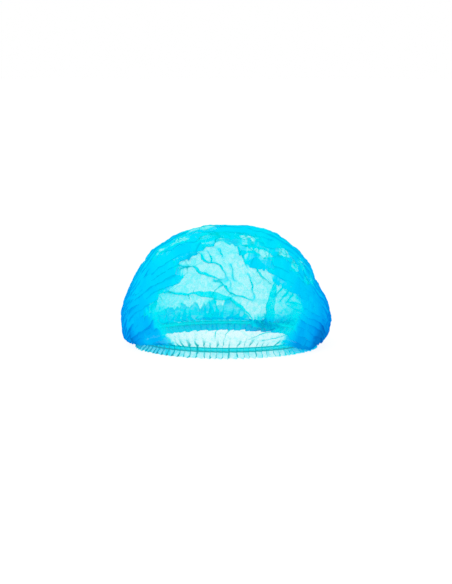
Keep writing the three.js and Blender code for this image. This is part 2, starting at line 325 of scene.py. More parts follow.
# The windows where the pleats are pulled flat, as outlines of latitude and turn: front wall, rear wall
WINDOWS = (
    (
        (-36, -47), (-27, -42), (-21, -38), (-18, -36), (-15, -28), (-10, -22), (-2, -20), (5, -22),
        (8, -31), (14, -37), (23, -38), (28, -39), (35, -41), (42, -48), (39, -64), (34, -80),
        (38, -98), (-38, -98), (-31, -82), (-37, -72), (-41, -60), (-40, -50),
    ),
    (
        (-50, 60), (-32, 48), (-23, 38), (-12, 27), (0, 25), (10, 30), (18, 38), (27, 45), (36, 47),
        (46, 50), (51, 62), (45, 78), (36, 86), (-36, 86), (-47, 76),
    ),
)

# How far the gathers reach up from the rear hem, where the cloth hangs over it in loose layers: latitude
# and degrees of turn. The gathers double over as far as they reach.
OVERHANG = (
    (-90, 8), (-62, 12), (-50, 17), (-44, 22), (-38, 19), (-34, 21), (-30, 18), (-25, 20), (-21, 17),
    (-17, 19), (-14, 15), (-10, 18), (-7, 22), (-5, 16), (-2, 15), (1, 20), (4, 18), (8, 16), (12, 11),
    (16, 6), (28, 6), (34, 12), (42, 20), (54, 24), (64, 16), (90, 8),
)

# Where the cloth hangs in over the rear elastic: the latitudes of its two ends, the degrees of turn from
# the hem to its middle, half its height, over how many degrees it fades and how far in and down it hangs
DRAPE_PLACE = (10, 42, 7, 2.8)
DRAPE_FADE = 7
DRAPE_IN = 0.0165
DRAPE_DOWN = 0.0075

# How flat the pleats lie in the gaps between the folded ones, where the cloth is thin again, and the gaps:
# latitude, turn, reach along and across the pleats in degrees
GAP_FLATNESS = 0.95
GAPS = (
    (-19, -9.5, 4, 6),
    (-20, 20, 6, 6.5),
    (-10, -1.5, 6, 5.5),
    (-9, 12, 7, 6.5),
    (-5, -15, 7, 5),
    (-28, -11.5, 4.5, 5.5),
    (-30, 21, 6, 6),
    (8, -15.5, 5.5, 5),
    (8.5, 25, 6, 4.5),
    (14.5, -25, 6.5, 5.5),
    (18, 37, 7, 7),
    (43, -21, 3, 5),
    (47, 26.5, 4, 6),
    (-22, 41, 6, 6),
    (24, -17, 3.5, 6),
    (27, 26, 5, 6.5),
    (32, -22, 3.5, 5.5),
    (36.5, 30, 5, 6),
    (17.5, -37.5, 4, 4.5),
    (-17, -32, 5, 5),
    (36, -12, 2.8, 5),
    (39, 17, 4, 6),
    (47, -13, 2.8, 5),
    (50, 16, 4, 6),
    (-30, -46, 7, 4),
    (-34, 54, 7, 5),
    (-38.5, -50, 2.5, 4.5),
    (-45, 60, 3, 5),
    (-41.5, -54, 1.6, 2.5),
    (-48, 65, 2, 3),
)

# Where the cloth is bunched into many layers and its colour deepens: latitude, turn, reach along and
# across the pleats in degrees, and how deep. A negative depth is thinner cloth.
BUNCHES = (
    (-90, -60, 50, 60, 0.42),
    (-90, 40, 50, 70, 0.40),
    (90, -60, 45, 60, 0.60),
    (90, 40, 45, 70, 0.50),
    (61, -62, 8, 11, 0.42),
    (70, -80, 14, 14, 0.36),
    (49, -80, 9, 8, 0.16),
    (-68, -78, 11, 18, 0.26),
    (-52, -76, 9, 13, 0.10),
    (-60, -66, 10, 9, 0.14),
    # Partly painted shade: the dark lens of a shadowed fold above the left of the front tape
    (-40, -82.5, 5.5, 2.2, 0.42),
    (27, 84.5, 10, 4, 1.0),
    (0, -26, 13, 7, 0.07),
    (15, -61, 6, 8, -0.06),
    (38, 82, 12, 8, 0.40),
    (-44, 84, 14, 9, 0.20),
    (0, -74, 42, 12, -0.10),
    (-50, 76, 9, 15, 0.34),
    (-43, -66, 7, 12, 0.18),
    (46, 76, 9, 14, 0.24),
    (43, -72, 7, 14, 0.20),
    (-37, -72, 5, 8, 0.16),
)

# Painted shade: where the bunched cloth is drawn darker and greener, as in the shadow of folds, given in
# the same way
PAINTED_SHADES = (
    (50, -80, 9, 8, 0.34),
    (-40, -82.5, 6, 2, 0.45),
    (60, 66, 10, 16, 0.1),
)

# Where the frills are bunched: latitude, side of the cap (-1 front, 1 rear), reach in degrees and how deep
FRILL_BUNCHES = (
    (27, 1, 11, 0.65),
    (-8, 1, 60, 0.50),
    (-44, -1, 14, 0.22),
    (0, -1, 60, 0.06),
    (55, -1, 14, 0.30),
    (90, -1, 28, 0.60),
    (90, 1, 28, 0.50),
    (-90, -1, 28, 0.50),
    (-90, 1, 28, 0.50),
)

# The accordion pleats: how many lie round the cap, how deep they double over and by how much that varies,
# how far they stray from their lines as a share of the way round, how far they stand out, and how much
# they deepen the colour and darken their edges
PLEATS = 30
PLEAT_STRENGTH = 5.2
PLEAT_UNEVEN = (1.3, 0.8)
PLEAT_WARP = (0.013, 0.009, 0.003)
PLEAT_STAND = 0.001
PLEAT_DEEP = 0.30
PLEAT_EDGE = 0.03

# What is left of the pleats where they are pulled flat: doubling over and standing out
FLAT_STRENGTH = 0.15
FLAT_STAND = 0.12

# How dark the fine creases are in the gaps, in the folded cloth and in the flat cloth
GAP_CREASE = 0.6
FOLDED_CREASE = 0.12
FLAT_CREASE = 0.16

# How high the crumples and the two grades of unevenness stand, in metres
CRUMPLE = 0.0006
COARSE_BUMPS = 0.0010
FINE_BUMPS = 0.0005

# The least height of the cloth above the floor
FLOOR_GAP = 0.0001

# How fine the meshes are
CROWN_COLUMNS = 400
CROWN_ROWS = 244
FRILL_COLUMNS = 1320
FRILL_ROWS = 36
SEAL_COLUMNS = 180
SEAL_ROWS = 60

# The crown's outline with the hem line as its first row
HEM_ROW = (
    0,
    *[OPENING_WIDTH / CAP_WIDTH] * 2,
    *[OPENING_DEPTH / CAP_DEPTH] * 2,
    *[HEM_HEIGHT / CROWN_RISE] * 3,
)
SECTIONS = np.array([HEM_ROW, *PUFF])


def smoothstep(x, low, high):
    """0 up to `low`, 1 from `high` on and a smooth rise between them."""
    t = np.clip((x - low) / (high - low), 0, 1)
    return t * t * (3 - 2 * t)


def section(column, way):
    """One column of the outline at shares of the way up, on a smooth curve through its rows."""
    ways = SECTIONS[:, 0]
    values = SECTIONS[:, PUFF_COLUMNS.index(column)]
    last = len(ways) - 1
    before = np.maximum(np.arange(last + 1) - 1, 0)
    after = np.minimum(np.arange(last + 1) + 1, last)
    slopes = (values[after] - values[before]) / (ways[after] - ways[before])
    k = np.clip(np.searchsorted(ways, way, side="right") - 1, 0, last - 1)
    span = ways[k + 1] - ways[k]
    t = np.clip((way - ways[k]) / span, 0, 1)
    return (
        values[k] * (2 * t**3 - 3 * t**2 + 1)
        + slopes[k] * span * (t**3 - 2 * t**2 + t)
        + values[k + 1] * (3 * t**2 - 2 * t**3)
        + slopes[k + 1] * span * (t**3 - t**2)
    )


def smooth_point(latitude, turn):
    """The smooth crown at latitudes and turns in radians."""
    across = np.sin(latitude)
    back = np.cos(latitude) * np.sin(turn)
    up = np.cos(latitude) * np.cos(turn)
    way = np.arcsin(np.clip(up, 0, 1)) / (np.pi / 2)
    out = np.maximum(np.hypot(across, back), 1e-9)
    x, y = across / out, back / out
    # Where the cap changes from left to right and from front to rear, the two outlines blend.
    right = smoothstep(x, -0.35, 0.35)
    rear = smoothstep(y, -0.5, 0.5)
    reach_x = section("left", way) * (1 - right) + section("right", way) * right
    reach_y = section("front", way) * (1 - rear) + section("rear", way) * rear
    middle = section("front_height", way) * (1 - rear) + section("rear_height", way) * rear
    height = middle + (section("end_height", way) - middle) * x * x
    return np.stack(
        (
            CENTRE_X + x * reach_x * CAP_WIDTH / 2,
            CENTRE_Y + y * reach_y * CAP_DEPTH / 2,
            height * CROWN_RISE,
        ),
        axis=-1,
    )


def outward(latitude, turn):
    """The smooth crown's outward direction."""
    step = 1e-3
    along = smooth_point(latitude + step, turn) - smooth_point(latitude - step, turn)
    over = smooth_point(latitude, turn + step) - smooth_point(latitude, turn - step)
    n = np.cross(along, over)
    return n / np.maximum(np.linalg.norm(n, axis=-1, keepdims=True), 1e-12)


def noise(u, v, seed):
    """Smooth noise from -1 to 1 with one bump per unit of u and v.

    In the calls, degrees are divided by the length of a bump, and what is added starts it elsewhere.
    """
    size = 64
    lattice = np.random.default_rng(seed).uniform(-1, 1, (size, size))
    iu, iv = np.floor(u).astype(int), np.floor(v).astype(int)
    fu, fv = u - iu, v - iv
    fu, fv = fu * fu * (3 - 2 * fu), fv * fv * (3 - 2 * fv)
    a = lattice[iu % size, iv % size]
    b = lattice[(iu + 1) % size, iv % size]
    c = lattice[iu % size, (iv + 1) % size]
    d = lattice[(iu + 1) % size, (iv + 1) % size]
    return a * (1 - fu) * (1 - fv) + b * fu * (1 - fv) + c * (1 - fu) * fv + d * fu * fv


def bunching(latitude):
    """How much room the cloth has: none at the sealed ends, all of it away from them."""
    return smoothstep(np.cos(latitude), 0.05, 0.45)


def blotches(lat, tu, table):
    """The sum of the soft spots in a table of places, reaches and depths."""
    total = np.zeros(lat.shape)
    for at, over, long, wide, deep in table:
        total += deep * np.exp(-(((lat - at) / long) ** 2) - ((tu - over) / wide) ** 2)
    return total


def fold_wave(x):
    """An odd wave with its steepest part at 0, where the cloth doubles over, and nothing past 2."""
    return -x * np.exp(-x * x) * FOLD_STEEPNESS


def inside_outline(lat, tu, outline):
    """How far, in degrees, points lie inside a closed outline; negative outside."""
    corners = np.array(outline, float)
    nearest = np.full(lat.shape, 1e9)
    inside = np.zeros(lat.shape, bool)
    for start, end in zip(corners, np.roll(corners, -1, axis=0)):
        run = end - start
        t = np.clip(((lat - start[0]) * run[0] + (tu - start[1]) * run[1]) / (run @ run), 0, 1)
        nearest = np.minimum(nearest, np.hypot(lat - start[0] - t * run[0], tu - start[1] - t * run[1]))
        crosses = (start[1] > tu) != (end[1] > tu)
        rise = end[1] - start[1] if end[1] != start[1] else 1e-9
        inside ^= crosses & (lat < start[0] + run[0] * (tu - start[1]) / rise)
    return np.where(inside, nearest, -nearest)


def ragged(lat, tu, seed):
    """Latitude and turn with a torn edge to them."""
    coarse, fine = 1.6, 0.9
    torn_lat = lat + coarse * noise(lat / 3.1 + 9, tu / 3.3 + 5, seed)
    torn_lat += fine * noise(lat / 1.2, tu / 1.4, seed + 1)
    torn_tu = tu + coarse * noise(lat / 2.7 + 2, tu / 3.7 + 8, seed + 2)
    torn_tu += fine * noise(lat / 1.1, tu / 1.5, seed + 3)
    return torn_lat, torn_tu


def openness(lat, tu):
    """1 where the pleats are pulled flat, in the two windows, and 0 where they are still folded."""
    lat, tu = ragged(lat, tu, 11)
    depth = np.maximum(*(inside_outline(lat, tu, outline) for outline in WINDOWS))
    return smoothstep(depth, -2.0, 2.5)


def gaps(lat, tu):
    """1 in the gaps between the folded pleats."""
    lat, tu = ragged(lat, tu, 61)
    widest = np.zeros(lat.shape)
    for at, over, long, wide in GAPS:
        away = ((lat - at) / long) ** 2 + ((tu - over) / wide) ** 2
        widest = np.maximum(widest, smoothstep(-away, -1.5, -0.5))
    return widest


def fold(lat, tu, run, broad):
    """One pinched fold: where it reaches and, there, its shifts, wave, distance to its line and edges."""
    lats, turns, _ = np.array(run, float).T
    margin = 3 * broad + 1.5
    near = (lat > lats.min() - margin) & (lat < lats.max() + margin)
    near &= (tu > turns.min() - margin) & (tu < turns.max() + margin)
    lat, tu = lat[near], tu[near]
    coarse, fine = FOLD_WANDER
    lat = lat + coarse * noise(lat / 2.6 + lats[0], tu / 2.6, 31) + fine * noise(lat, tu + turns[0], 32)
    tu = tu + coarse * noise(lat / 2.6, tu / 2.6 + turns[0], 33) + fine * noise(lat + lats[0], tu, 34)
    nearest = np.full(lat.shape, 1e9)
    shift = np.zeros((4, *lat.shape))
    for start, end in zip(run[:-1], run[1:]):
        along = np.array(end[:2], float) - start[:2]
        length = np.hypot(*along)
        along /= length
        t = np.clip(((lat - start[0]) * along[0] + (tu - start[1]) * along[1]) / length, 0, 1)
        away_lat = lat - start[0] - t * length * along[0]
        away_tu = tu - start[1] - t * length * along[1]
        away = np.hypot(away_lat, away_tu)
        side = away_tu * along[0] - away_lat * along[1]
        over = start[2] + (end[2] - start[2]) * t
        within = np.exp((side**2 - away**2) / broad**2)
        wave = fold_wave(side / broad) * within
        # The cloth turns back on itself on both sides of the line, at the two edges of the doubled part.
        doubled = np.clip(1 - broad / (FOLD_STEEPNESS * over), 0, 1)
        turning = 0.95 * broad * np.sqrt(doubled / 2)
        edge = np.exp(-(((np.abs(side) - turning) / CREASE_WIDTH) ** 2))
        edge = edge * smoothstep(doubled, 0, 0.3) * within
        here = away < nearest
        nearest = np.minimum(nearest, away)
        for k, value in enumerate((-along[1] * over * wave, along[0] * over * wave, wave, edge)):
            shift[k] = np.where(here, value, shift[k])
    return near, *shift[:3], nearest, shift[3]


def lines(u, v, seed, thin):
    """Thin wandering lines, where a smooth noise passes through nothing."""
    return np.exp(-((noise(u, v, seed) / thin) ** 2))


def gather_column(across, lat, side):
    """The count of gathers along a hem, from the left end, a little uneven."""
    return (across + 1) * GATHERS_PER_SIDE / 2 + 0.22 * noise(lat / 5, lat * 0 + side, 41)


class CrownHalf:
    """Half of the folded crown, front (-1) or rear (1), as a grid of points.

    Each step adds to how far the cloth is shifted, in degrees of latitude and turn, how far it is lifted,
    in metres, how stacked it is and how dark it is drawn along its creases and in painted shade.
    """

    def __init__(self, side):
        shares = np.linspace(0, 0.5, CROWN_ROWS + 1) + (side > 0) * 0.5
        self.side = side
        self.across = np.linspace(-1, 1, CROWN_COLUMNS + 1)
        self.latitude, self.share = np.meshgrid(self.across * END_LATITUDE, shares)
        self.turn = (self.share - 0.5) * np.pi
        self.lat, self.tu = np.degrees(self.latitude), np.degrees(self.turn)
        self.room = bunching(self.latitude)
        self.from_hem = 90 - np.abs(self.tu)
        self.off_hem = smoothstep(self.from_hem, 2, 20)
        self.hem = 1 - smoothstep(self.from_hem, 0, HEM_BAND)
        self.flat = openness(self.lat, self.tu)
        self.gaps = gaps(self.lat, self.tu)
        self.folded = (1 - self.flat) * (1 - GAP_FLATNESS * self.gaps)
        self.d_lat, self.d_turn, self.lift, self.stacked, self.crease_and_shade = np.zeros((5, *self.lat.shape))

    def lay_pleats(self):
        """Accordion pleats, which double over most along the top and towards the ends."""
        lat, share, off_hem = self.lat, self.share, self.off_hem
        wide, middle, small = PLEAT_WARP
        warp = wide * noise(lat / 40, share * 13, 21) + middle * noise(lat / 13, share * 9 + 3, 22)
        warp += small * noise(lat / 4, share * 30, 25)
        phase = 2 * np.pi * PLEATS * (share + warp)
        coarse, fine = PLEAT_UNEVEN
        uneven = coarse * noise(lat / 9 + 4, share * PLEATS + 7, 23)
        uneven += fine * noise(lat / 3, share * PLEATS, 24)
        over = self.folded * off_hem * (PLEAT_STRENGTH + uneven) + FLAT_STRENGTH * self.flat * off_hem
        wave = np.sin(phase)
        self.d_turn += over * 180 / (2 * np.pi * PLEATS) * wave
        swell = 0.5 + 0.5 * self.room + 0.5 * smoothstep(np.abs(lat), 48, 72)
        self.lift -= PLEAT_STAND * wave * off_hem * (FLAT_STAND * self.flat + self.folded) * swell
        self.stacked += PLEAT_DEEP * self.folded
        turning = np.exp(-(((np.cos(phase) + 1 / np.maximum(over, 1.2)) / 0.25) ** 2))
        patchy = smoothstep(noise(lat / 8 + 3, share * 2 * PLEATS, 26), -0.5, 0.7)
        self.crease_and_shade += PLEAT_EDGE * turning * smoothstep(over, 1, 2) * patchy

    def crinkle(self):
        """Fine creases: a net of them in the gaps and single ones elsewhere."""
        lat, tu = self.lat, self.tu
        patchy = smoothstep(noise(lat / 8, tu / 7, 96), 0.1, 0.6) * self.off_hem
        in_gaps = lines(lat / 3.1 + tu / 9, tu / 3.3, 97, 0.12)
        in_folded = lines(lat / 9 + tu / 30, tu / 4.5, 94, 0.05)
        in_flat = lines(lat / 9 + tu / 20, tu / 8 - lat / 25, 95, 0.035)
        self.crease_and_shade += GAP_CREASE * self.gaps * in_gaps * self.off_hem
        self.crease_and_shade += FOLDED_CREASE * self.folded * in_folded * patchy
        self.crease_and_shade += FLAT_CREASE * self.flat * in_flat * patchy

    def pinch_folds(self):
        """The single folds of the table."""
        for row in FOLDS:
            broad = row["broad"]
            near, shift_lat, shift_tu, wave, away, edge = fold(self.lat, self.tu, row["run"], broad)
            self.d_lat[near] += shift_lat
            self.d_turn[near] += shift_tu
            self.lift[near] -= row["stand"] * wave
            self.stacked[near] += row["deep"] * np.exp(-((away / (0.8 * broad)) ** 2))
            self.crease_and_shade[near] += row.get("sharp", np.clip(0.55 * broad - 0.2, 0.2, 0.6)) * edge

    def overhang(self):
        """How loose the gathers are above the rear hem, from 0 to 1, and how much fuller lower down."""
        lat, tu, from_hem = self.lat, self.tu, self.from_hem
        if self.side < 0:
            return np.zeros_like(lat), 0
        high = np.interp(lat + 1.5 * noise(lat / 3, tu / 5, 45), *np.array(OVERHANG).T)
        high = high + 1.5 * noise(lat / 1.6, tu / 9, 46)
        loose = smoothstep(high - from_hem, -0.7, 2.2) * (1 - self.hem)
        return loose, smoothstep(high - from_hem, 1, 11)

    def gather(self):
        """Gathers that rise from the hem and fade, and double over where the rear cloth hangs loose."""
        lat, tu, side, from_hem, hem = self.lat, self.tu, self.side, self.from_hem, self.hem
        column = gather_column(self.across, lat, side) - GATHER_LEAN * from_hem
        stray = 0.3 * noise(lat / 4, tu / 7, 44) + 0.5 * (side > 0) * noise(lat / 7, tu / 12, 48)
        column = column + (1 - hem) * stray
        ripple = np.sin(2 * np.pi * column)
        pinch = smoothstep(-np.cos(2 * np.pi * column), 0.2, 0.8)
        short, long = GATHER_REACH_VARIES
        reach = GATHER_REACH + short * noise(lat / 2.2, lat * 0 + side * 5, 42)
        reach += long * noise(lat / 9, lat * 0 + side * 3, 43)
        gather = np.exp(-((from_hem / np.maximum(reach, 3)) ** 1.5))
        loose, fuller = self.overhang()
        doubled = LOOSE_GATHER + LOOSE_FULLER * fuller + 0.5 * noise(lat / 2.5, tu / 4, 49)
        doubled = TAUT_GATHER * gather + loose * doubled
        self.d_lat += (HEM_GATHER[side > 0] * hem + doubled * (1 - hem)) * ripple * self.room
        swell = HEM_SWING * hem * (0.35 + 0.65 * self.room)
        swell += GATHER_SWING * (1 - hem) * np.maximum(gather, loose)
        self.lift += swell * ripple
        self.stacked += GATHER_DEEP * gather * pinch
        self.stacked += loose * (LOOSE_DEEP + 0.14 * noise(lat / 3, tu / 4, 47))
        tick = np.exp(-((from_hem / np.maximum(reach + 2, 3.5)) ** 3))
        patchy = 0.75 + 0.25 * noise(lat / 2.2, tu / 6, 50)
        self.crease_and_shade += (GATHER_EDGE * tick + LOOSE_EDGE * loose * (1 - hem)) * pinch * patchy
        self.crease_and_shade += LOOSE_RIM * loose * (1 - loose) * (1 - hem)

    def crumple(self):
        """Crumples, bumps and dents."""
        lat, tu = self.lat, self.tu
        torn_lat, torn_tu = ragged(lat, tu, 91)
        crumple = 1.5 - 2.4 * np.abs(noise(torn_lat / 5.5, torn_tu / 5.0, 55))
        crumple -= 1.2 * np.abs(noise(torn_lat / 2.6 + 5, torn_tu / 2.9, 56))
        bumps = CRUMPLE * crumple + COARSE_BUMPS * noise(lat / 6, tu / 6, 51)
        bumps += FINE_BUMPS * noise(lat / 2.4, tu / 2.2, 52) * (0.3 + 0.7 * self.folded)
        self.lift += bumps * self.room * self.off_hem
        dents = DENT_DEPTH * blotches(lat, tu, DENTS)
        self.lift -= dents * self.room * smoothstep(self.from_hem, 0, 20)

    def colour(self):
        """The bunched places, the painted shade and a little unevenness."""
        self.stacked += blotches(self.lat, self.tu, BUNCHES)
        self.stacked += 0.06 * noise(self.lat / 6 + 7, self.tu / 6, 71) * self.folded
        # Painted shade, carried with the darkening along the creases
        self.crease_and_shade += blotches(self.lat, self.tu, PAINTED_SHADES)

    def hang(self, points):
        """Lets the cloth sag over the front hem and hang in over the rear elastic."""
        lat = self.lat
        points[..., 2] -= blotches(lat, self.tu, SAGS) * smoothstep(self.from_hem, 0, 8)
        if self.side > 0:
            start, end, height, half_height = DRAPE_PLACE
            along = smoothstep(lat, start, start + DRAPE_FADE) * smoothstep(-lat, -end, DRAPE_FADE - end)
            hang = along * np.exp(-(((self.from_hem - height) / half_height) ** 2))
            points[..., 1] -= DRAPE_IN * hang
            points[..., 2] -= DRAPE_DOWN * hang**3

    def points(self):
        """The points of the grid with all the shifts and lifts; at the hem line they are lifted level."""
        bent_latitude = self.latitude + np.radians(self.d_lat)
        bent_turn = np.clip(self.turn + np.radians(self.d_turn), -np.pi / 2, np.pi / 2)
        points = smooth_point(bent_latitude, bent_turn)
        normal = outward(bent_latitude, bent_turn)
        normal[..., 2] *= 1 - self.hem
        normal /= np.maximum(np.linalg.norm(normal, axis=-1, keepdims=True), 1e-9)
        points += normal * self.lift[..., None]
        self.hang(points)
        return points


def crown_cloth(side):
    """Half of the folded crown: its points, their places on the sheet, how stacked, and how dark along its
    creases and in painted shade.
    """
    half = CrownHalf(side)
    half.lay_pleats()
    half.crinkle()
    half.pinch_folds()
    half.gather()
    half.crumple()
    half.colour()
    along = half.across * SHEET_LENGTH / 2 + 0 * half.lat
    flat = np.stack((along, (half.share - 0.5) * SHEET_WIDTH), axis=-1)
    return half.points(), flat, half.stacked, half.crease_and_shade


def frill_cloth(side):
    """The hem round an elastic and the frill under it, given like the crown."""
    rear = side > 0
    across = np.linspace(-1, 1, FRILL_COLUMNS + 1)
    latitude, down = np.meshgrid(across * END_LATITUDE, np.linspace(0, 1, FRILL_ROWS + 1))
    lat = np.degrees(latitude)
    room = bunching(latitude)
    column = gather_column(across, lat, side)
    lobes = np.abs(np.sin(np.pi * column / LOBE_GATHERS[rear] + noise(lat / 5, lat * 0, 65)))
    foot = FRILL_LOBES[rear] * lobes * (1 + 0.5 * noise(lat / 3, lat * 0 + side, 66)) * room
    height = HEM_HEIGHT - (HEM_HEIGHT - foot) * down
    fall = smoothstep(FRILL_DROP - height, 0, FRILL_DROP)
    column = column + 0.2 * fall * noise(lat / 1.7, fall * 2, 61)
    ripple = np.sin(2 * np.pi * column)
    trough = -np.cos(2 * np.pi * column)

    # The shape: the ripples swing out further towards the foot, and the whole frill flares
    swing = (HEM_SWING + FRILL_SWING * fall) * ripple * (0.35 + 0.65 * room)
    swing += FRILL_CRINKLE * noise(lat * 1.3, fall * 1.5, 62) * fall
    flare = FRILL_FLARE[rear] * smoothstep(fall, 0, 1) * room
    bent = latitude + np.radians(HEM_GATHER[rear] * ripple * (1 - 0.2 * fall) * room)
    x, y = np.sin(bent), side * np.cos(bent)
    normal = np.stack((x * OPENING_DEPTH, y * OPENING_WIDTH), axis=-1)
    normal /= np.linalg.norm(normal, axis=-1, keepdims=True)
    out = (swing + flare)[..., None] * normal
    points = np.stack(
        (
            CENTRE_X + x * OPENING_WIDTH / 2 + out[..., 0],
            CENTRE_Y + y * OPENING_DEPTH / 2 + out[..., 1],
            np.maximum(height, FLOOR_GAP),
        ),
        axis=-1,
    )
    flat = np.stack((across * SHEET_LENGTH / 2 + 0 * lat, down * HEM_HEIGHT), axis=-1)

    # The colour: bunched in the troughs of the ripples and in the places of the table
    stacked = 0.12 * smoothstep(trough, 0.3, 1) + 0.06 * (1 - fall)
    for at, here, reach, deep in FRILL_BUNCHES:
        stacked = stacked + deep * (here == side) * np.exp(-(((lat - at) / reach) ** 2))

    # The creases: a stripe in each trough and the two seams that hold the elastic
    stripe = smoothstep(trough, -0.1, 0.5)
    crease_and_shade = FRILL_EDGE * stripe * (1 - 0.2 * fall) * (0.8 + 0.2 * noise(lat / 1.7, fall * 1.5, 63))
    for seam in (FRILL_DROP - SEAM_WIDTH / 2, HEM_HEIGHT):
        crease_and_shade = np.maximum(crease_and_shade, SEAM_EDGE[rear] * np.exp(-(((height - seam) / SEAM_WIDTH) ** 4)))
    if rear:
        # Painted shade: all of the rear frill is drawn darker
        crease_and_shade += REAR_FRILL_SHADE
    else:
        # Painted shadow: the troughs of the front frill's foot are drawn darker on the left, where it
        # stands on the floor
        at, reach, strength = FRILL_FOOT_SHADOW
        crease_and_shade += strength * stripe * smoothstep(fall, 0.6, 0.95) * np.exp(-(((lat - at) / reach) ** 2))
    return points, flat, stacked, crease_and_shade


def seal_cloth(box):
    """A sealed end: all the pleats drawn together into one ribbed bunch."""
    (x0, y0, z0), (x1, y1, z1) = box
    around = np.linspace(0, 2 * np.pi, SEAL_COLUMNS + 1)
    angle, up = np.meshgrid(around, np.linspace(0, 1, SEAL_ROWS + 1))
    height = np.clip((up - SEAL_CLOSING) / (1 - 2 * SEAL_CLOSING), 0, 1)
    swell = np.interp(height, SEAL_HEIGHTS, SEAL_SWELLS)
    rib = np.sin(SEAL_RIBS * angle + 1.4 * np.sin(3 * height) + 0.8 * np.sin(angle + 5 * height))
    fine_rib = np.sin(SEAL_FINE_RIBS * angle + 6 * height)
    share = swell * (0.86 + SEAL_RIB_DEPTH * rib + SEAL_FINE_DEPTH * fine_rib)
    closing = np.clip(np.minimum(up, 1 - up) / SEAL_CLOSING, 0, 1)
    share = share * np.sqrt(closing)
    points = np.stack(
        (
            (x0 + x1) / 2 + (x1 - x0) / 2 * share * np.cos(angle),
            (y0 + y1) / 2 + (y1 - y0) / 2 * share * np.sin(angle),
            z0 + (z1 - z0) * (height + 0.03 * rib * closing * (height > 0.9)),
        ),
        axis=-1,
    )
    points[..., 2] = np.clip(points[..., 2], FLOOR_GAP, None)
    flat = np.stack((angle * (x1 - x0) / 2, height * (z1 - z0)), axis=-1)
    # The colour is deeper and darker in the troughs between the ribs: painted shade
    return points, flat, 0.72 - 0.2 * rib, 0.3 * smoothstep(-rib, 0.2, 1)


def mesh_from_grid(name, points, flat, stacked, crease_and_shade, flip=False):
    """A smooth mesh over a grid of points, with the flat sheet as its UV map, in metres."""
    rows, columns = points.shape[:2]
    corner = np.arange(rows * columns).reshape(rows, columns)
    quads = np.stack((corner[:-1, :-1], corner[:-1, 1:], corner[1:, 1:], corner[1:, :-1]), axis=-1)
    quads = quads.reshape(-1, 4)
    if flip:
        quads = quads[:, ::-1]
    mesh = bpy.data.meshes.new(name)
    mesh.vertices.add(rows * columns)
    mesh.vertices.foreach_set("co", points.reshape(-1).astype(np.float32))
    mesh.loops.add(quads.size)
    mesh.loops.foreach_set("vertex_index", quads.reshape(-1).astype(np.int32))
    mesh.polygons.add(len(quads))
    mesh.polygons.foreach_set("loop_start", (np.arange(len(quads)) * 4).astype(np.int32))
    mesh.polygons.foreach_set("use_smooth", np.ones(len(quads), bool))
    mesh.update(calc_edges=True)
    uv = mesh.uv_layers.new(name="sheet")
    uv.data.foreach_set("uv", flat.reshape(-1, 2)[quads.reshape(-1)].reshape(-1).astype(np.float32))
    layers = mesh.attributes.new("stacked", "FLOAT", "POINT")
    layers.data.foreach_set("value", np.clip(0.1 + 0.9 * stacked, 0, 1).reshape(-1).astype(np.float32))
    creases = mesh.attributes.new("crease_and_shade", "FLOAT", "POINT")
    creases.data.foreach_set("value", np.clip(crease_and_shade, 0, 1).reshape(-1).astype(np.float32))
    mesh.validate()
    piece = bpy.data.objects.new(name, mesh)
    bpy.context.scene.collection.objects.link(piece)
    return piece


class Nodes:
    """Short calls for a material's nodes."""

    def __init__(self, name):
        self.material = bpy.data.materials.new(name)
        self.material.use_nodes = True
        self.tree = self.material.node_tree
        self.tree.nodes.clear()
        self.output = self.add("ShaderNodeOutputMaterial")

    def add(self, kind, **settings):
        node = self.tree.nodes.new(kind)
        for key, value in settings.items():
            setattr(node, key, value)
        return node

    def link(self, source, target):
        self.tree.links.new(source, target)

    def texture(self, kind, vector, scale, **settings):
        node = self.add(kind, **settings)
        node.inputs["Scale"].default_value = scale
        self.link(vector, node.inputs["Vector"])
        return node

    def ramp(self, source, stops):
        node = self.add("ShaderNodeValToRGB")
        ramp = node.color_ramp
        for k, (at, value) in enumerate(stops):
            stop = ramp.elements[k] if k < 2 else ramp.elements.new(at)
            stop.position = at
            stop.color = (*value, 1) if hasattr(value, "__len__") else (value, value, value, 1)
        self.link(source, node.inputs["Fac"])
        return node.outputs["Color"]

    def math(self, operation, a, b):
        node = self.add("ShaderNodeMath", operation=operation)
        for socket, value in zip(node.inputs, (a, b)):
            if isinstance(value, (int, float)):
                socket.default_value = value
            else:
                self.link(value, socket)
        return node.outputs["Value"]

    def attribute(self, name):
        return self.add("ShaderNodeAttribute", attribute_name=name).outputs["Fac"]

    def times(self, a, b):
        """One colour times another. A mix node's colour sockets are the seventh and eighth."""
        node = self.add("ShaderNodeMix", data_type="RGBA", blend_type="MULTIPLY")
        node.inputs["Factor"].default_value = 1
        self.link(a, node.inputs[6])
        self.link(b, node.inputs[7])
        return node.outputs[2]


# The cloth's colour and cover from thin cloth, at 0, past one layer, at 0.1, to a bunch of many, at 1
CLOTH_COLOURS = (
    (0.0, (0.0, 0.92, 0.92)),
    (0.1, (0.0, 0.88, 0.92)),
    (0.3, (0.0, 0.79, 0.92)),
    (0.4, (0.0, 0.73, 0.94)),
    (0.55, (0.0, 0.59, 0.95)),
    (0.7, (0.0, 0.44, 0.92)),
    (0.85, (0.0, 0.31, 0.84)),
    (1.0, (0.0, 0.19, 0.62)),
)
CLOTH_COVER = ((0.0, 0.0), (0.1, 0.12), (0.32, 0.64), (0.6, 0.8), (1.0, 0.85))
MOST_COVER = 0.98

# The cover that a single layer's fibres add, from the thinnest places to the thickest
FIBRE_COVER = ((0.6, 0.15), (0.8, 0.24), (0.98, 0.42))

# The share of the light that comes through from behind, shown as a glow
GLOW = 0.5

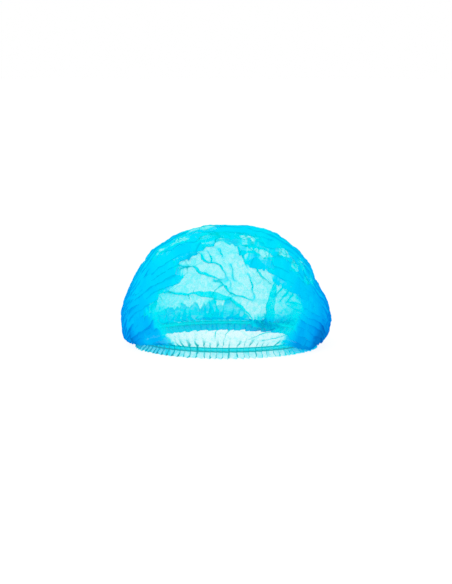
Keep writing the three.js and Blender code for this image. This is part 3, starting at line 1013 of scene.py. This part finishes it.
# What the colour is multiplied by from plain cloth, at 0, to the edge of a sharp crease or the deepest
# painted shade, at 1, and the cover that these add; the darkening along the creases is partly painted
# shade
CREASE_AND_SHADE_TINT = ((0.0, (1.0, 1.0, 1.0)), (1.0, (1.0, 0.5, 0.5)))
CREASE_AND_SHADE_COVER = 0.7

# The elastic tape's colour and cover, from its middle to its selvedges
TAPE_COLOURS = ((0.4, (0.0, 0.76, 0.86)), (0.8, (0.0, 0.42, 0.52)))
TAPE_COVER = ((0.4, 0.65), (0.8, 0.85))

# How many bumps of a texture lie in a metre: clouds and streaks of fibres, bond points, the tape's weave
# and the welded ends' creases
CLOUDS = 130
STREAKS = 110
BOND_POINTS = 900
WEAVE = 1500
WELD_CREASES = 500


def shaded(table, share):
    """A table of colours, each times a share."""
    return [(at, tuple(share * value for value in colour)) for at, colour in table]


def cloth_body(n, stacked, height, strength):
    """The cloth's shader: half of its light comes through from behind, as a glow of its own colour."""
    bump = n.add("ShaderNodeBump")
    bump.inputs["Strength"].default_value = strength
    bump.inputs["Distance"].default_value = 0.0003
    n.link(height, bump.inputs["Height"])
    body = n.add("ShaderNodeBsdfPrincipled")
    # Darkened along the creases and by painted shade
    tint = n.ramp(n.attribute("crease_and_shade"), CREASE_AND_SHADE_TINT)
    n.link(n.times(n.ramp(stacked, shaded(CLOTH_COLOURS, 1 - GLOW)), tint), body.inputs["Base Color"])
    n.link(n.times(n.ramp(stacked, CLOTH_COLOURS), tint), body.inputs["Emission Color"])
    body.inputs["Emission Strength"].default_value = GLOW
    n.link(bump.outputs["Normal"], body.inputs["Normal"])
    body.inputs["Roughness"].default_value = 0.7
    body.inputs["Specular IOR Level"].default_value = 0.0
    body.inputs["Sheen Weight"].default_value = 0.03
    body.inputs["Sheen Roughness"].default_value = 0.4
    body.inputs["Sheen Tint"].default_value = (0.0, 0.8, 1.0, 1)
    n.link(body.outputs["BSDF"], n.output.inputs["Surface"])
    return body


def cloth_material():
    """Spunbonded cloth: cloudy fibres with a grid of bond points, seen through where it is one layer."""
    n = Nodes("cap_cloth")
    place = n.add("ShaderNodeTexCoord").outputs["UV"]
    stacked = n.attribute("stacked")
    clouds = n.texture("ShaderNodeTexNoise", place, CLOUDS, noise_dimensions="2D")
    clouds.inputs["Detail"].default_value = 2
    clouds.inputs["Roughness"].default_value = 0.5
    clouds.inputs["Distortion"].default_value = 0.7
    streaks = n.texture("ShaderNodeTexNoise", place, STREAKS, noise_dimensions="2D")
    streaks.inputs["Detail"].default_value = 2
    streaks.inputs["Distortion"].default_value = 2.5
    bonds = n.texture("ShaderNodeTexVoronoi", place, BOND_POINTS, voronoi_dimensions="2D", feature="F1")
    bonds.inputs["Randomness"].default_value = 0.15
    bond = n.ramp(bonds.outputs["Distance"], ((0.12, 1.0), (0.34, 0.0)))
    fibres = n.math("ADD", clouds.outputs["Fac"], n.math("MULTIPLY", streaks.outputs["Fac"], 0.6))
    fibres = n.math("ADD", fibres, n.math("MULTIPLY", bond, -0.04))
    cover = n.math("ADD", n.ramp(fibres, FIBRE_COVER), n.ramp(stacked, CLOTH_COVER))
    cover = n.math("ADD", cover, n.math("MULTIPLY", n.attribute("crease_and_shade"), CREASE_AND_SHADE_COVER))
    cover = n.math("MINIMUM", cover, MOST_COVER)
    body = cloth_body(n, stacked, fibres, 0.4)
    n.link(cover, body.inputs["Alpha"])
    return n.material


def elastic_material():
    """A flat woven tape, with a denser and darker selvedge along each edge."""
    n = Nodes("elastic_tape")
    place = n.add("ShaderNodeTexCoord").outputs["Object"]
    split = n.add("ShaderNodeSeparateXYZ")
    n.link(place, split.inputs["Vector"])
    middle = (FRILL_DROP + HEM_HEIGHT) / 2
    from_middle = n.math("ABSOLUTE", n.math("SUBTRACT", split.outputs["Z"], middle), 0)
    edge = n.math("DIVIDE", from_middle, (HEM_HEIGHT - FRILL_DROP) / 2)
    weave = n.texture("ShaderNodeTexNoise", place, WEAVE)
    height = n.math("ADD", edge, n.math("MULTIPLY", weave.outputs["Fac"], 0.5))
    bump = n.add("ShaderNodeBump")
    bump.inputs["Strength"].default_value = 0.5
    bump.inputs["Distance"].default_value = 0.0002
    n.link(height, bump.inputs["Height"])
    body = n.add("ShaderNodeBsdfPrincipled")
    # The light that comes through the tape from behind is painted on as a glow of its own colour, as for
    # the cloth
    n.link(n.ramp(edge, shaded(TAPE_COLOURS, 1 - GLOW)), body.inputs["Base Color"])
    n.link(n.ramp(edge, TAPE_COLOURS), body.inputs["Emission Color"])
    body.inputs["Emission Strength"].default_value = GLOW
    n.link(n.ramp(edge, TAPE_COVER), body.inputs["Alpha"])
    n.link(bump.outputs["Normal"], body.inputs["Normal"])
    body.inputs["Roughness"].default_value = 0.6
    body.inputs["Specular IOR Level"].default_value = 0.1
    n.link(body.outputs["BSDF"], n.output.inputs["Surface"])
    return n.material


def seal_material():
    """Cloth bunched and welded at the ends of the pleats."""
    n = Nodes("sealed_cloth")
    place = n.add("ShaderNodeTexCoord").outputs["UV"]
    stacked = n.attribute("stacked")
    creases = n.texture("ShaderNodeTexNoise", place, WELD_CREASES)
    creases.inputs["Detail"].default_value = 3
    cloth_body(n, stacked, creases.outputs["Fac"], 0.8)
    return n.material


# The photograph's height and how far its middle lies below the cap's, in pixels, and its scale at the cap
PHOTO_HEIGHT = 584
PHOTO_DROP = 7.5
METRES_PER_PIXEL = 0.001185

# How many degrees above the floor the camera looks from, its distance and its sensor's width in mm
CAMERA_ELEVATION = 11
CAMERA_DISTANCE = 1.5
SENSOR_WIDTH = 36


def make_camera():
    """The photograph's view: a little above the floor, square to the front."""
    elevation = np.radians(CAMERA_ELEVATION)
    low, high = (Vector(corner) for corner in cad_box)
    back = Vector((0, -np.cos(elevation), np.sin(elevation)))
    up = Vector((0, np.sin(elevation), np.cos(elevation)))
    target = (low + high) / 2 - up * PHOTO_DROP * METRES_PER_PIXEL
    camera = bpy.data.objects.new("camera", bpy.data.cameras.new("camera"))
    bpy.context.scene.collection.objects.link(camera)
    camera.data.sensor_width = SENSOR_WIDTH
    camera.data.lens = SENSOR_WIDTH * CAMERA_DISTANCE / (PHOTO_HEIGHT * METRES_PER_PIXEL)
    camera.data.clip_end = 50
    camera.location = target + back * CAMERA_DISTANCE
    camera.rotation_euler = back.to_track_quat("Z", "Y").to_euler()
    bpy.context.scene.camera = camera


def make_floor():
    """A white floor that glows a little."""
    half = 12
    corners = [(-half, -half, 0), (half, -half, 0), (half, half, 0), (-half, half, 0)]
    mesh = bpy.data.meshes.new("floor")
    mesh.from_pydata(corners, [], [(0, 1, 2, 3)])
    floor = bpy.data.objects.new("floor", mesh)
    bpy.context.scene.collection.objects.link(floor)
    n = Nodes("floor")
    body = n.add("ShaderNodeBsdfPrincipled")
    body.inputs["Base Color"].default_value = (0.14, 0.14, 0.14, 1)
    body.inputs["Roughness"].default_value = 0.9
    body.inputs["Specular IOR Level"].default_value = 0.0
    body.inputs["Emission Color"].default_value = (1, 1, 1, 1)
    body.inputs["Emission Strength"].default_value = 0.9
    n.link(body.outputs["BSDF"], n.output.inputs["Surface"])
    mesh.materials.append(n.material)


def make_light():
    """An even white surround and one large soft lamp, in front and up to the left."""
    world = bpy.data.worlds.new("surround")
    bpy.context.scene.world = world
    world.use_nodes = True
    world.node_tree.nodes["Background"].inputs["Color"].default_value = (1, 1, 1, 1)
    world.node_tree.nodes["Background"].inputs["Strength"].default_value = 1.0

    lamp = bpy.data.lights.new("softbox", "AREA")
    lamp.shape = "DISK"
    lamp.size = 1.2
    lamp.energy = 6
    softbox = bpy.data.objects.new("softbox", lamp)
    softbox.location = (-0.7, -0.9, 1.5)
    aim = Vector((0, 0, 0.05))
    softbox.rotation_euler = (Vector(softbox.location) - aim).to_track_quat("Z", "Y").to_euler()
    bpy.context.scene.collection.objects.link(softbox)


def set_view():
    """Plain colours, and light that passes through all the layers of the cloth."""
    bpy.context.scene.view_settings.view_transform = "Standard"
    bpy.context.scene.view_settings.look = "None"
    bpy.context.scene.cycles.transparent_max_bounces = 32


def dress():
    """The cloth in two halves with their frills, the tapes' material and the bunched ends."""
    cloth = cloth_material()
    sealed = seal_material()
    tape = elastic_material()

    for side, end in ((-1, "front"), (1, "rear")):
        crown = mesh_from_grid("crown_" + end, *crown_cloth(side))
        frill = mesh_from_grid("frill_" + end, *frill_cloth(side), flip=side < 0)
        for piece in (crown, frill):
            piece.data.materials.append(cloth)
            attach(piece, "root")
        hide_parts("crown")
    for name in ("elastic_front", "elastic_rear"):
        bpy.data.objects[name].material_slots[0].material = tape
    for end, box in (("left", LEFT_SEAL), ("right", RIGHT_SEAL)):
        seal = mesh_from_grid("bunch_" + end, *seal_cloth(box))
        seal.data.materials.append(sealed)
        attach(seal, "root")
        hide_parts("end_seal_" + end)


make_camera()
make_floor()
make_light()
set_view()
dress()
